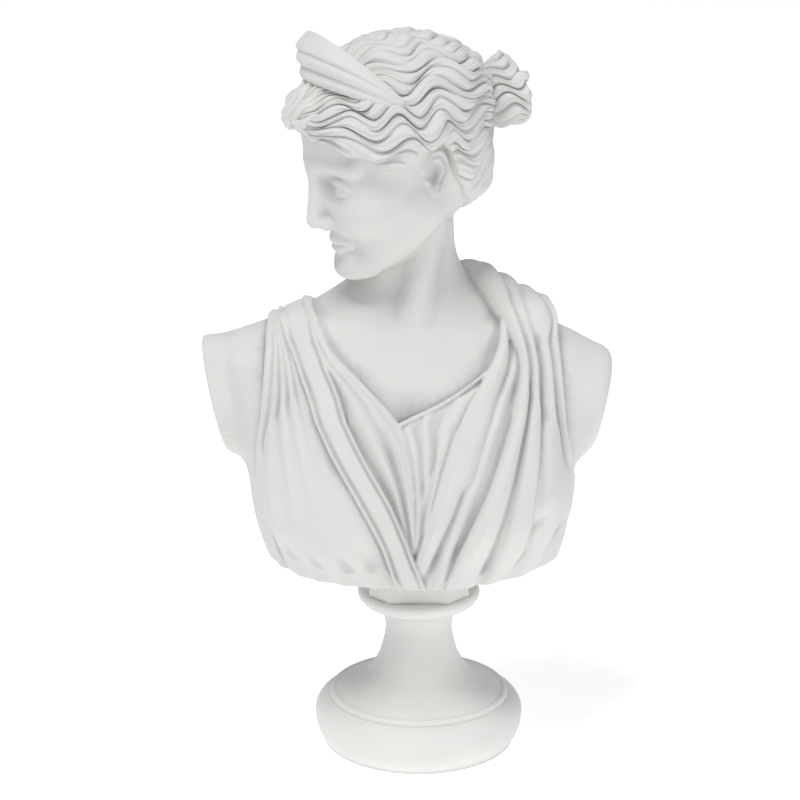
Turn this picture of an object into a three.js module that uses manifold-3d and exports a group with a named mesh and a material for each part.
// A draped classical bust on its turned socle, in millimetres, +Z up.
// The chest faces -Y and the head is turned towards the figure's right shoulder, which is -X.
// Every form is a grid of points from a function of two parameters; the forms of the bust are then joined.

import * as THREE from "three";
import { mergeVertices } from "three/addons/utils/BufferGeometryUtils.js";
import Module from "manifold-3d";

const wasm = await Module();
wasm.setup();

// Driving dimensions
const SOCLE_TOP = 67; // height of the seat that the bust stands on
const BASE_RADIUS = 42.3; // widest part of the socle's foot
const FOOT_RADIUS = 40; // edge that meets the table
const WAIST_RADIUS = 13.8; // narrowest part of the socle's stem
const COLLAR_RADIUS = 25.3; // round collar under the bust
const HEM = 79; // level at which the bust is cut off flat
const MIDDLE_X = -4; // the chest's own middle, beside the socle's axis
const CORE_Y = 2; // rays that find the chest start on this line
const SHOULDER_Z = 150; // height of the line that shoulder rays start on
const NECK_TOP = 247; // the neck ends inside the skull
const HEAD_CENTRE = [-12, -4, 252];
const HEAD_SCALE = 0.95; // the head forms are laid out on a full-size canon and brought to this figure
const HEAD_YAW = 65; // degrees that the face is turned from the chest's front
const HEAD_PITCH = 14; // degrees that the face looks down
const LOCKS = 20; // locks of hair around the head, from the parting to the knot
const LOCK_RELIEF = 2.6;
const HAIR_WAVES = 5; // waves along one lock
const HAIR_WAVE_ANGLE = 0.07; // sideways swing of a wave, in radians about the hair's axis
const DIADEM_HEIGHT = 17.5;
const CLOTH = 1.6; // thickness of the thin tunic over the skin

// Small helpers on numbers and curves
const { PI, sin, cos, hypot, sqrt, abs, max, min, round } = Math;
const radians = (degrees) => (degrees * PI) / 180;
const mix = (a, b, t) => a + (b - a) * t;
const clamp01 = (t) => min(1, max(0, t));
const smoothstep = (from, to, x) => {
  const t = clamp01((x - from) / (to - from));
  return t * t * (3 - 2 * t);
};

// A smooth line through [position, value] knots, held level beyond its ends.
function through(knots) {
  const slope = (i) => {
    const a = knots[max(0, i - 1)];
    const b = knots[min(knots.length - 1, i + 1)];
    return (b[1] - a[1]) / (b[0] - a[0]);
  };
  return (position) => {
    const last = knots.length - 1;
    if (position <= knots[0][0]) return knots[0][1];
    if (position >= knots[last][0]) return knots[last][1];
    const i = knots.findIndex((k) => k[0] > position) - 1;
    const [x0, y0] = knots[i];
    const [x1, y1] = knots[i + 1];
    const span = x1 - x0;
    const t = (position - x0) / span;
    const rise = t * t * (3 - 2 * t);
    const leave = t * (1 - t) * (1 - t) * span * slope(i);
    const arrive = t * t * (1 - t) * span * slope(i + 1);
    return mix(y0, y1, rise) + leave - arrive;
  };
}

// Soft forms: signed distances, negative inside, joined or cut with rounded meetings
const ellipsoid = (centre, radii) => (x, y, z) => {
  const p = [x - centre[0], y - centre[1], z - centre[2]];
  const near = hypot(p[0] / radii[0], p[1] / radii[1], p[2] / radii[2]);
  const steep = hypot(p[0] / radii[0] ** 2, p[1] / radii[1] ** 2, p[2] / radii[2] ** 2);
  return steep ? (near * (near - 1)) / steep : -min(...radii);
};

const limb = (a, b, radiusA, radiusB = radiusA) => {
  const axis = [b[0] - a[0], b[1] - a[1], b[2] - a[2]];
  const squared = axis[0] ** 2 + axis[1] ** 2 + axis[2] ** 2;
  return (x, y, z) => {
    const p = [x - a[0], y - a[1], z - a[2]];
    const t = clamp01((p[0] * axis[0] + p[1] * axis[1] + p[2] * axis[2]) / squared);
    const away = hypot(p[0] - axis[0] * t, p[1] - axis[1] * t, p[2] - axis[2] * t);
    return away - mix(radiusA, radiusB, t);
  };
};

const joinSoft = (a, b, round) => min(a, b) - (max(round - abs(a - b), 0) ** 2 * 0.25) / round;

const add = (form, round) => ({ form, round, sign: 1 });
const cut = (form, round) => ({ form, round, sign: -1 });
const both = (make) => [make(-1), make(1)];

function blend(forms) {
  const [first, ...rest] = forms.flat(2);
  return (x, y, z) => {
    let d = first.form(x, y, z);
    for (const { form, round, sign } of rest) d = sign * joinSoft(sign * d, form(x, y, z), round);
    return d;
  };
}

// Distance from origin to the outermost surface of a field, along a unit direction.
function reach(field, origin, direction, far = 120) {
  let r = far;
  for (let step = 0; step < 90 && r > 0; step++) {
    const gap = field(...origin.map((c, k) => c + direction[k] * r));
    if (gap < 0.01) break;
    r -= gap * 0.85;
  }
  return max(r, 0);
}

// Grids of points become closed solids
function gridSolid(point, around, along) {
  const positions = [];
  const index = [];
  for (let j = 0; j <= along; j++)
    for (let i = 0; i < around; i++) positions.push(...point(i / around, j / along));
  for (let j = 0; j < along; j++)
    for (let i = 0; i < around; i++) {
      const a = j * around + i;
      const b = j * around + ((i + 1) % around);
      index.push(a, b, b + around, a, b + around, a + around);
    }
  for (const j of [0, along]) {
    const ring = positions.slice(j * around * 3, (j + 1) * around * 3);
    const hub = positions.length / 3;
    for (let axis = 0; axis < 3; axis++)
      positions.push(ring.filter((_, k) => k % 3 === axis).reduce((sum, n) => sum + n, 0) / around);
    for (let i = 0; i < around; i++) {
      const edge = [j * around + i, j * around + ((i + 1) % around)];
      index.push(hub, ...(j === 0 ? edge.reverse() : edge));
    }
  }
  return solidFrom(positions, index);
}

function solidFrom(positions, index) {
  const build = (triVerts) =>
    new wasm.Manifold(
      new wasm.Mesh({
        numProp: 3,
        vertProperties: new Float32Array(positions),
        triVerts: new Uint32Array(triVerts),
      }),
    );
  const made = build(index);
  return made.volume() > 0 ? made : build(index.toReversed());
}

function solidOf(geometry) {
  const bare = geometry.clone();
  bare.deleteAttribute("normal");
  bare.deleteAttribute("uv");
  const merged = mergeVertices(bare);
  return solidFrom([...merged.attributes.position.array], [...merged.index.array]);
}

const joinAll = (solids) => solids.reduce((whole, next) => whole.add(next));

function geometryOf(solid) {
  const mesh = solid.getMesh();
  const geometry = new THREE.BufferGeometry();
  geometry.setAttribute("position", new THREE.BufferAttribute(mesh.vertProperties, 3));
  geometry.setIndex(new THREE.BufferAttribute(mesh.triVerts, 1));
  geometry.computeVertexNormals();
  return geometry;
}

// Socle: a turned profile from the axis at the table to the axis at the seat
function socle() {
  const stem = through([
    [21, 34.4],
    [24, 26.5],
    [29, 20.6],
    [36, 17.2],
    [43, 14.9],
    [50, WAIST_RADIUS],
    [56, 14.9],
  ]);
  const outline = [[0, 0], [FOOT_RADIUS, 0]];
  const footRound = 8.5;
  for (let i = 0; i <= 5; i++) {
    const turn = radians(mix(-45, 64, i / 5));
    outline.push([BASE_RADIUS - footRound + footRound * cos(turn), 11.5 + footRound * sin(turn)]);
  }
  outline.push([36.6, 18.9], [36.2, 20.6], [35, 21]);
  for (let z = 24; z <= 56; z += 8) outline.push([stem(z), z]);
  const collarRound = 8.5;
  for (let i = 0; i <= 4; i++) {
    const turn = radians(mix(-88, 0, i / 4));
    outline.push([COLLAR_RADIUS - collarRound + collarRound * cos(turn), SOCLE_TOP - 1.8 + 8.2 * sin(turn)]);
  }
  outline.push([COLLAR_RADIUS - 1.8, SOCLE_TOP], [0, SOCLE_TOP]);
  const turned = new THREE.LatheGeometry(outline.map(([r, z]) => new THREE.Vector2(r, z)), 28);
  return turned.rotateX(PI / 2);
}

// Flesh of the chest, shoulders and neck
const flesh = blend([
  add(ellipsoid([MIDDLE_X + 1.5, 0, 120], [62.5, 36, 80]), 1),
  both((side) => add(ellipsoid([MIDDLE_X + 29 * side, -25, 124], [25, 20, 26]), 14)),
  add(limb([MIDDLE_X - 60, 4, 155.5], [MIDDLE_X + 60, 4, 155.5], 19.5), 14),
  both((side) => add(limb([MIDDLE_X, 9, 196], [MIDDLE_X + 52 * side, 5, 161.5], 13.5, 13), 10)),
  add(limb([-3.5, 8, 184], [-5, 1, NECK_TOP], 18.6, 17.6), 10),
  both((side) => add(limb([MIDDLE_X + 6 * side, -17, 176], [MIDDLE_X + 46 * side, -6, 180], 3.5), 7)),
  add(limb([8, -11, 236], [-3, -17, 182], 4.5, 3), 6),
]);

function fleshNormal([x, y, z]) {
  const h = 0.5;
  const d = flesh(x, y, z);
  const slope = new THREE.Vector3(flesh(x + h, y, z) - d, flesh(x, y + h, z) - d, flesh(x, y, z + h) - d);
  return slope.normalize().toArray();
}

// A point on the flesh at sideways place x and lay w. The lay is the height up the front to 150, then 60
// units for half a turn over the shoulder, then down the back: one number follows a band all the way.
const LAY_SHOULDER = 150;
const LAY_BACK = 210;

function onFlesh(x, w) {
  const turn = PI * clamp01((w - LAY_SHOULDER) / (LAY_BACK - LAY_SHOULDER));
  const z = w < LAY_SHOULDER ? w : w > LAY_BACK ? SHOULDER_Z + LAY_BACK - w : SHOULDER_Z;
  const out = [0, -cos(turn), sin(turn)];
  const r = reach(flesh, [x, CORE_Y, z], out);
  return [x, CORE_Y + out[1] * r, z + out[2] * r];
}

// Lines of the dress: sideways place against the lay
const armhole = through([
  [72, -48], [86, -55.5], [105, -60], [135, -62],
  [150, -60.5], [180, -58.5], [283, -56],
]);
const strap = through([
  [77, -1.5], [101, -10.5], [120, -19], [150, -34.5],
  [163, -42], [180, -50], [210, -46], [283, 8],
]);
const neckline = through([
  [101, -2], [129, -2.5], [148, -8.5], [158, -24],
  [166, -36], [180, -44], [210, -40], [283, 10],
]);
const mantleEdge = through([
  [77, -7], [84, -5], [100, 0], [141, 11.5],
  [150, 15.5], [158, 23.5], [170, 31], [186, 30],
]);
const mantleFold = through([
  [77, 7], [122, 25], [150, 34.5], [164, 37.5],
  [176, 26.5], [182, 18], [210, -2], [283, -56],
]);
const mantleSide = through([
  [72, 45], [86, 52.5], [100, 56.5], [120, 58.5],
  [150, 57.5], [180, 54], [210, 52], [283, 30],
]);
const panelTop = through([[-10, 147.5], [9, 156.5], [30, 169]]); // height against sideways place

// 1 where the tunic covers the chest, 0 on bare skin
function covered(x, z) {
  if (z < 146) return 1;
  const w = LAY_SHOULDER + max(0, z - LAY_SHOULDER) * 0.55;
  const right = smoothstep(1, -1, x - neckline(w));
  const under = smoothstep(1, -1, z - panelTop(x)) * smoothstep(-9, -8, x);
  const left = smoothstep(-1, 1, x - mantleEdge(w));
  return max(right, under, left) * smoothstep(196, 188, z);
}

// Cloth over the flesh, measured outwards
function cloth(x, y, z, angle) {
  const front = smoothstep(8, -8, y);
  const back = CLOTH + 0.9 * cos(7 * angle) * smoothstep(180, 140, z);
  const shoulders = smoothstep(184, 172, z);
  return mix(back * shoulders, covered(x, z) * CLOTH, front);
}

// Chest, shoulders and neck in one piece, cast outwards from the core line at each height.
function chest() {
  const height = through([[0, HEM - 5], [0.42, 150], [0.56, 172], [0.82, 202], [1, NECK_TOP]]);
  const crowd = 0.45; // share by which columns gather at the front
  return gridSolid(
    (u, v) => {
      const angle = 2 * PI * u - crowd * sin(2 * PI * u);
      const z = height(v);
      const out = [sin(angle), -cos(angle), 0];
      const bare = reach(flesh, [MIDDLE_X, CORE_Y, z], out);
      const place = [MIDDLE_X + out[0] * bare, CORE_Y + out[1] * bare];
      const r = bare + (z < 200 ? cloth(place[0], place[1], z, angle) : 0);
      return [MIDDLE_X + out[0] * r, CORE_Y + out[1] * r, z];
    },
    34,
    15,
  );
}

// Upper arms, cut off by slanting flat faces
function stump(side) {
  const [reachOut, middle, tall] = side < 0 ? [76, 149.3, 25] : [76.5, 145.6, 23.2];
  return gridSolid(
    (u, v) => {
      const turn = 2 * PI * u;
      const y = 3 + mix(17, 19.5, v) * cos(turn);
      const z = mix(155, middle, v) + mix(20, tall, v) * sin(turn);
      const cutX = reachOut + 0.21 * (z - 143);
      return [MIDDLE_X + side * mix(30, cutX, v), y, z];
    },
    18,
    3,
  );
}

// A layer of cloth between two lines of the dress. Each column is a place across it, from 0 to 1, and a rise
// off the flesh that depends on the lay; the under side is sunk in the body.
function sheet(left, right, layAt, columns, rows) {
  const ring = [...columns, ...[0.75, 0.5, 0.25].map((p) => [p, () => -7])];
  return gridSolid(
    (u, v) => {
      const [p, rise] = ring[round(u * ring.length)];
      const w = layAt(v, p);
      const skin = onFlesh(mix(left(w), right(w), p), w);
      const out = fleshNormal(skin);
      return skin.map((c, k) => c + out[k] * rise(w));
    },
    ring.length,
    rows,
  );
}

// Folds side by side: valleys at even columns, crests at odd ones, and both edges let into the body.
// They die away towards the lay at which the layer ends.
const pleats = (folds, end, rise, deep) =>
  Array.from({ length: 2 * folds + 1 }, (_, j) => {
    const p = j / (2 * folds);
    const edge = j === 0 || j === 2 * folds;
    return [p, (w) => (edge ? -2 : rise(p, w) + (j % 2) * deep(p, w)) * smoothstep(end, end - 40, w)];
  });

const beside = (line, offset) => (w) => line(w) + offset;
const evenly = (low, high) => (v) => mix(low, high, v);
const overShoulder = through([[0, HEM - 7], [0.4, 150], [0.75, 210], [1, 284]]);

// A rolled edge: half an ellipse across
const rolled = (height, end) =>
  [0, 0.15, 0.5, 0.85, 1].map((p) => [
    p,
    (w) => mix(-1, height, sqrt(4 * p * (1 - p))) * smoothstep(end, end - 40, w),
  ]);

// The flat strap with a cord along each edge, and the rolled edges of the neckline and the armhole
function rightShoulder() {
  const strapRise = (w) => mix(4.4, 2.6, smoothstep(150, 178, w)) * smoothstep(290, 250, w);
  const strapColumns = [
    [0, () => -1],
    [0.08, (w) => strapRise(w) + 0.9],
    [0.22, strapRise],
    [0.78, strapRise],
    [0.92, (w) => strapRise(w) + 0.9],
    [1, () => -1],
  ];
  const halfStrap = 6.2;
  const upTo = evenly(96, 250);
  return [
    sheet(beside(strap, -halfStrap), beside(strap, halfStrap), overShoulder, strapColumns, 13),
    sheet(beside(neckline, -2.6), beside(neckline, 2.4), upTo, rolled(2.8, 250), 11),
    sheet(beside(armhole, -3), beside(armhole, 2.6), evenly(HEM - 7, 250), rolled(2.8, 250), 12),
  ];
}

// The tunic fans out from the right shoulder; its folds are strong at the hem and faint over the breast
function tunic() {
  const breast = (p, w) => smoothstep(0.3, 0.6, p) * smoothstep(90, 104, w);
  const deep = (p, w) => mix(2.8, 1.5, smoothstep(90, 130, w)) * (1 - 0.8 * breast(p, w));
  const fan = pleats(6, 240, () => CLOTH + 0.6, deep);
  const gathered = pleats(2, 235, () => CLOTH + 0.9, () => 1.5);
  return [
    sheet(beside(armhole, 1), beside(strap, -5), evenly(HEM - 7, 240), fan, 13),
    sheet(beside(strap, 4), neckline, evenly(96, 235), gathered, 10),
  ];
}

// The small panel between neckline and mantle, and its rolled upper edge
function panel() {
  const hang = pleats(3, 240, () => CLOTH + 0.3, (p, w) => 1.4 * smoothstep(96, 125, w));
  const rise = (v, p) => mix(HEM - 7, mix(145, 162, p), v);
  const edge = gridSolid(
    (u, v) => {
      const x = mix(-9.5, 29, v);
      const turn = 2 * PI * u;
      const z = panelTop(x);
      const y = CORE_Y - reach(flesh, [x, CORE_Y, z], [0, -1, 0]);
      return [x, y - 0.6 - 2.3 * sin(turn), z + 1.5 * cos(turn)];
    },
    6,
    7,
  );
  return [sheet(neckline, beside(mantleEdge, 3), rise, hang, 7), edge];
}

// The mantle: a first layer that sinks into a deep groove, and the layer over it with a rounded border
function mantle() {
  const groove = (w) => smoothstep(86, 104, w) * smoothstep(168, 146, w);
  const sunk = (p, w) => 1 - 0.95 * smoothstep(0.55, 0.8, p) * groove(w);
  const first = pleats(3, 240, (p, w) => 2.6 * sunk(p, w), (p, w) => 1.8 * sunk(p, w));
  const shoulder = (w) => smoothstep(128, 172, w);
  const over = pleats(
    5,
    290,
    (p, w) => mix(4.4, 2.6, shoulder(w)),
    (p, w) => mix(0.7 + 1.8 * smoothstep(108, 80, w), 3.6, shoulder(w)),
  );
  return [
    sheet(mantleEdge, beside(mantleFold, 4), evenly(HEM - 7, 178), first, 10),
    sheet(mantleFold, mantleSide, overShoulder, over, 16),
  ];
}

// Head
const LID = 6.8; // radius of the eyelids about the eye's centre
function eyelid(side, rise, radius) {
  const steps = 4;
  const at = (i) => {
    const sweep = radians(mix(-62, 62, i / steps));
    const lift = radians(rise * cos((sweep * 90) / 62) - 4);
    return [
      13.2 * side + LID * sin(sweep) * cos(lift) * side,
      25.4 + LID * cos(sweep) * cos(lift),
      -3 + LID * sin(lift),
    ];
  };
  return Array.from({ length: steps }, (_, i) => add(limb(at(i), at(i + 1), radius), 1.2));
}

const headForm = blend([
  add(ellipsoid([0, -5, 14], [30.5, 39, 31]), 1), // skull
  add(ellipsoid([0, 8, -9], [26.8, 27, 37]), 9), // face
  add(ellipsoid([0, -7, -8], [24, 31.7, 29]), 8), // nape
  both((side) => add(limb([20 * side, 0, -22], [8 * side, 23, -40], 7, 5.5), 9)), // jaw
  add(ellipsoid([0, 27.6, -40.5], [9, 7.8, 6.8]), 6), // chin
  both((side) => add(ellipsoid([16 * side, 20, -13], [10.5, 10.5, 10]), 9)), // cheeks
  both((side) => add(limb([3 * side, 32.4, 4.5], [20 * side, 25.5, 5], 3, 2.4), 5)), // brows
  both((side) => cut(ellipsoid([13.2 * side, 36, -2.8], [8.6, 6.6, 5.8]), 5)), // eye sockets
  add(limb([0, 32.8, 2], [0, 38.6, -17], 3.1, 3.9), 4), // nose
  both((side) => add(ellipsoid([4.6 * side, 35.6, -19], [3.2, 3.6, 3]), 2)),
  both((side) => add(ellipsoid([13.2 * side, 25.4, -3], [6.3, 6.3, 6.3]), 0.5)), // eyes
  both((side) => eyelid(side, 32, 1)),
  both((side) => eyelid(side, -20, 0.75)),
  both((side) => add(limb([1.2 * side, 32.2, -27.6], [8 * side, 29.4, -29.4], 1.9, 0.9), 2)), // lips
  both((side) => add(limb([1.6 * side, 31.8, -31.9], [7 * side, 29.6, -30.4], 2.2, 0.9), 2)),
  both((side) => cut(limb([0, 34.6, -29.8], [8.6 * side, 31, -30.1], 0.6), 0.8)),
  cut(limb([-5, 36, -35.8], [5, 36, -35.8], 2), 4), // hollow above the chin
  both((side) => cut(ellipsoid([2.6 * side, 37.4, -22.3], [1.2, 2, 1.1]), 0.8)), // nostrils
]);

const headFrame = (() => {
  const yaw = radians(HEAD_YAW);
  const pitch = radians(HEAD_PITCH);
  const level = new THREE.Vector3(-sin(yaw), -cos(yaw), 0);
  const up = new THREE.Vector3(0, 0, 1);
  const forward = level.clone().multiplyScalar(cos(pitch)).addScaledVector(up, -sin(pitch));
  const crown = level.clone().multiplyScalar(sin(pitch)).addScaledVector(up, cos(pitch));
  const right = new THREE.Vector3().crossVectors(forward, crown);
  const size = new THREE.Vector3(HEAD_SCALE, HEAD_SCALE, HEAD_SCALE);
  return new THREE.Matrix4().makeBasis(right, forward, crown).scale(size).setPosition(...HEAD_CENTRE);
})();

const toWorld = (p) => new THREE.Vector3(...p).applyMatrix4(headFrame).toArray();

function skullAndFace() {
  const heart = [0, 3, -5];
  const crowd = 0.5;
  return gridSolid(
    (u, v) => {
      const turn = 2 * PI * u - crowd * sin(2 * PI * u);
      const rise = radians(mix(-87, 87, v));
      const out = [sin(turn) * cos(rise), cos(turn) * cos(rise), sin(rise)];
      const r = reach(headForm, heart, out, 70);
      return toWorld(heart.map((c, k) => c + out[k] * r));
    },
    30,
    20,
  );
}

// Hair: locks run from the parting over the forehead to the knot at the back, waving side by side
const PARTING = [0, 29.5, 36];
const KNOT = [0, -43, 7];
const hairHeart = PARTING.map((c, k) => (c + KNOT[k]) / 2);
const hairAxis = new THREE.Vector3(...PARTING).sub(new THREE.Vector3(...KNOT)).normalize();
const hairUp = new THREE.Vector3(0, -hairAxis.z, hairAxis.y);
const skullForm = blend([
  add(ellipsoid([0, -5, 14], [30.5, 39, 31]), 1),
  add(ellipsoid([0, -7, -8], [24.5, 32.5, 29]), 8),
]);
// Height of the hairline, from the forehead round to the nape
const hairline = through([
  [0, 22], [35, 16], [72, 2], [90, 5], [112, 4],
  [124, -12], [138, -23], [160, -32], [180, -35],
]);

function hairPoint(lockPlace, s) {
  const swing = HAIR_WAVE_ANGLE * smoothstep(0.1, 0.5, s) * smoothstep(PI, 2.6, s);
  const waves = sin(HAIR_WAVES * 2 * s + 1.5 * sin(2 * PI * lockPlace));
  const turn = 2 * PI * lockPlace + swing * waves;
  const out = new THREE.Vector3()
    .addScaledVector(hairAxis, cos(s))
    .addScaledVector(new THREE.Vector3(1, 0, 0), sin(s) * cos(turn))
    .addScaledVector(hairUp, sin(s) * sin(turn))
    .toArray();
  const bare = reach(skullForm, hairHeart, out, 70);
  const p = hairHeart.map((c, k) => c + out[k] * bare);
  const round = (Math.atan2(abs(p[0]), p[1]) * 180) / PI;
  const above = p[2] - hairline(round);
  const cover = smoothstep(-1.5, 1.5, above);
  const edgeRoll = mix(3.6, 2.2, smoothstep(20, 60, round)) * Math.exp(-((above - 6) ** 2) / 50);
  const nape = mix(1, smoothstep(-3, 12, above), smoothstep(115, 150, round));
  const ridge = sqrt(max(0, 1 - (2 * abs(((lockPlace * LOCKS) % 1) - 0.5)) ** 2)) * smoothstep(0.1, 0.5, s);
  const thick = mix(-4, nape * (1.8 + edgeRoll * smoothstep(125, 95, round) + LOCK_RELIEF * ridge), cover);
  return toWorld(hairHeart.map((c, k) => c + out[k] * (bare + thick)));
}

function hairCap() {
  return gridSolid((u, v) => hairPoint(u, mix(0.04, PI - 0.04, v)), LOCKS * 2, 17);
}

// A round tapering section carried along a curve, in the head's frame.
function strand(points, radius, { around = 6, along = 7, flat = 1 } = {}) {
  const curve = new THREE.CatmullRomCurve3(points.map((p) => new THREE.Vector3(...p)));
  const { normals, binormals } = curve.computeFrenetFrames(along);
  return gridSolid(
    (u, v) => {
      const row = round(v * along);
      const turn = 2 * PI * u;
      const p = curve
        .getPointAt(v)
        .addScaledVector(normals[row], radius(v) * cos(turn))
        .addScaledVector(binormals[row], radius(v) * flat * sin(turn));
      return toWorld(p.toArray());
    },
    around,
    along,
  );
}

// The knot: a bundle of grooved locks that opens behind the tie, with a ring of curls at its end
function knot() {
  const tails = 8;
  const swell = through([[0, 5], [0.2, 8], [0.5, 12], [0.8, 14.5], [0.94, 12], [1, 5]]);
  const bundle = gridSolid(
    (u, v) => {
      const turn = 2 * PI * u + 0.28 * sin(6 * v);
      const groove = round(u * tails * 2) % 2 === 0 ? -1.8 : 1.4;
      const r = swell(v) + groove * smoothstep(0, 0.25, v) * smoothstep(1, 0.9, v);
      return toWorld([KNOT[0] + 0.85 * r * cos(turn), KNOT[1] + 4 - 25 * v, KNOT[2] + 0.98 * r * sin(turn)]);
    },
    tails * 2,
    7,
  );
  const curls = 6;
  const ring = Array.from({ length: curls }, (_, i) => {
    const turn = (2 * PI * (i + 0.4)) / curls;
    const size = 1 + 0.14 * sin(2.9 * i);
    const path = [[4, -9], [9, -12], [12.5, -17], [11, -23.5], [7.5, -21]].map(([out, back]) => [
      KNOT[0] + 0.85 * out * size * cos(turn),
      KNOT[1] + back * size,
      KNOT[2] + out * size * sin(turn),
    ]);
    return strand(path, (v) => 3.2 * sin(PI * mix(0.2, 0.88, v)), { around: 5, along: 6 });
  });
  return [bundle, ...ring];
}

// Diadem: a crescent plate standing on the hair, fluted along its length
function diadem() {
  const frontFoot = [0, 25.8, 42];
  const endFoot = [30, 1, 26];
  const around = 12;
  const flutes = 3;
  return gridSolid(
    (u, v) => {
      const sweep = radians(mix(-90, 90, v));
      const foot = [
        endFoot[0] * sin(sweep),
        mix(endFoot[1], frontFoot[1], cos(sweep)),
        mix(endFoot[2], frontFoot[2], cos(sweep)),
      ];
      const tall = 1.5 + DIADEM_HEIGHT * cos(sweep) ** 0.85;
      const out = [sin(sweep), cos(sweep), 0];
      const turn = 2 * PI * u;
      const rise = 0.5 - 0.5 * cos(turn);
      const thick = 1.5 * sin(turn) + (sin(turn) > 0 ? 1.6 * abs(sin(flutes * PI * rise)) * cos(sweep) : 0);
      const lean = (3 * rise ** 2 - 2.5 * smoothstep(0.75, 1, rise)) * cos(sweep);
      return toWorld([
        foot[0] + out[0] * (thick + lean),
        foot[1] + out[1] * (thick + lean) - 0.24 * tall * rise,
        foot[2] - 4 + (tall + 4) * rise,
      ]);
    },
    around,
    12,
  );
}

// Ear: a curled rim round a shallow bowl, with its lobe
function ear(side) {
  const centre = [29 * side, -5.7, -6];
  const rim = Array.from({ length: 8 }, (_, i) => {
    const turn = radians(mix(-5, 275, i / 7));
    return [
      centre[0] + side * (2 + 1.2 * cos(turn - 2.6)),
      centre[1] + 4.9 * cos(turn) - 0.3 * 8.3 * sin(turn),
      centre[2] + 8.3 * sin(turn),
    ];
  });
  const bowl = gridSolid(
    (u, v) => {
      const turn = 2 * PI * u;
      const rise = radians(mix(-88, 88, v));
      return toWorld([
        centre[0] + side * 2.4 * cos(rise) * cos(turn) - side * 0.6,
        centre[1] + 4.6 * cos(rise) * sin(turn) - 0.3 * 7.4 * sin(rise),
        centre[2] + 7.4 * sin(rise),
      ]);
    },
    8,
    4,
  );
  return [strand(rim, (v) => mix(1.25, 1.7, v), { around: 5, along: 9 }), bowl];
}

// The foot under the chest: a block with its corners cut off, standing on the socle's seat
function foot() {
  const half = new THREE.Vector2(18, 21);
  const corner = 8;
  const plan = new THREE.Shape();
  plan.moveTo(-half.x + corner, -half.y);
  plan.lineTo(half.x - corner, -half.y);
  plan.lineTo(half.x, -half.y + corner);
  plan.lineTo(half.x, half.y - corner);
  plan.lineTo(half.x - corner, half.y);
  plan.lineTo(-half.x + corner, half.y);
  plan.lineTo(-half.x, half.y - corner);
  plan.lineTo(-half.x, -half.y + corner);
  const block = new THREE.ExtrudeGeometry(plan, { depth: HEM + 8 - SOCLE_TOP, bevelEnabled: false });
  return block.translate(0, 0, SOCLE_TOP);
}

function bust() {
  const draped = joinAll([
    chest(),
    ...both(stump),
    ...rightShoulder(),
    ...tunic(),
    ...panel(),
    ...mantle(),
  ]);
  const below = new THREE.BoxGeometry(300, 300, 60).translate(0, 0, HEM - 30);
  const trimmed = draped.subtract(solidOf(below));
  const head = [skullAndFace(), hairCap(), ...knot(), diadem(), ...both(ear).flat()];
  return geometryOf(joinAll([trimmed, solidOf(foot()), ...head]));
}

const marble = new THREE.MeshStandardMaterial({ color: 0xdcddda, roughness: 0.75, metalness: 0 });

function piece(name, geometry) {
  const mesh = new THREE.Mesh(geometry, marble.clone());
  mesh.name = name;
  return mesh;
}

const statue = new THREE.Group();
statue.add(piece("bust", bust()), piece("socle", socle()));

export default statue;
